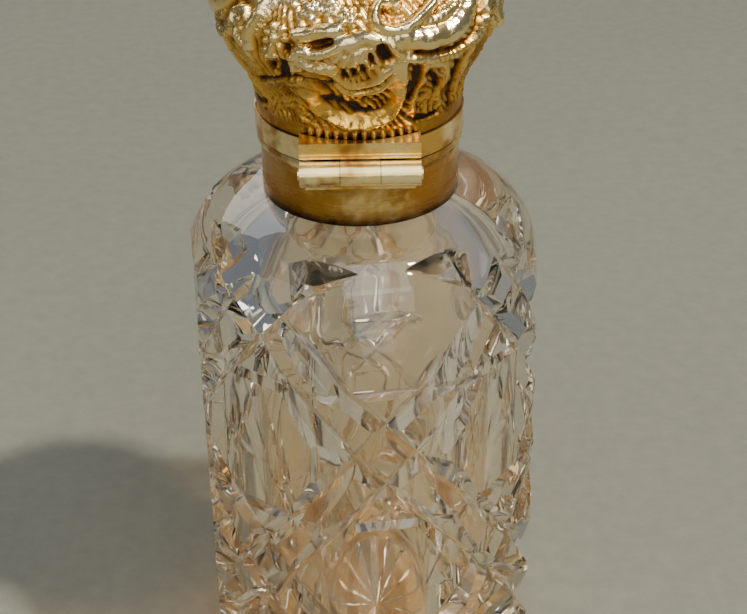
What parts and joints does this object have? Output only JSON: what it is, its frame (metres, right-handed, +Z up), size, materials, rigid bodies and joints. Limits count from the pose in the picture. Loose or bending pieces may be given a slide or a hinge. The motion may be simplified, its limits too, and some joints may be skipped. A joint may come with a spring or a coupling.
{
  "type": "scent bottle",
  "caption": "Cut-glass scent bottle with eight panelled sides, a gilt metal collar, a hinged domed lid with raised ornament and a ground glass stopper under it.",
  "frame": {"origin": "centre of the base, on the surface the bottle stands on", "axes": "+Z up the axis of the bottle, -Y towards the hinge, +X along the hinge pin"},
  "size_m": [0.036, 0.036, 0.0845],
  "materials": {
    "cut_glass": "clear lead glass, cut and polished",
    "stopper_glass": "clear glass with a ground plug",
    "cement": "matt plaster cement",
    "gilt": "worn gilding, lightly scratched",
    "chased_gilt": "chased gilding, dark in the hollows and rubbed pale on the high parts",
    "pin_brass": "dull drawn wire"
  },
  "bodies": {
    "bottle": {"glass_bottle": "cut_glass", "glass_neck": "cut_glass", "neck_cement": "cement", "collar_sleeve": "gilt", "collar_top_bead": "gilt", "collar_deck": "gilt", "bezel_ring": "gilt", "collar_hinge_plate": "gilt", "collar_knuckle_left": "gilt", "collar_knuckle_right": "gilt", "hinge_pin": "pin_brass"},
    "lid": {"lid_shell": "chased_gilt", "lid_liner": "gilt", "lid_rim_band": "gilt", "lid_hinge_plate": "gilt", "lid_knuckle": "gilt"},
    "stopper": {"stopper": "stopper_glass"}
  },
  "joints": [
    {"name": "lid_hinge", "type": "hinge", "parent": "bottle", "child": "lid", "pos_m": [0, -0.0115, 0.0645], "axis": [1, 0, 0], "range_deg": [0, 112]},
    {"name": "stopper_lift", "type": "slide", "parent": "bottle", "child": "stopper", "axis": [0, 0, 1], "range_m": [0, 0.008]}
  ]
}
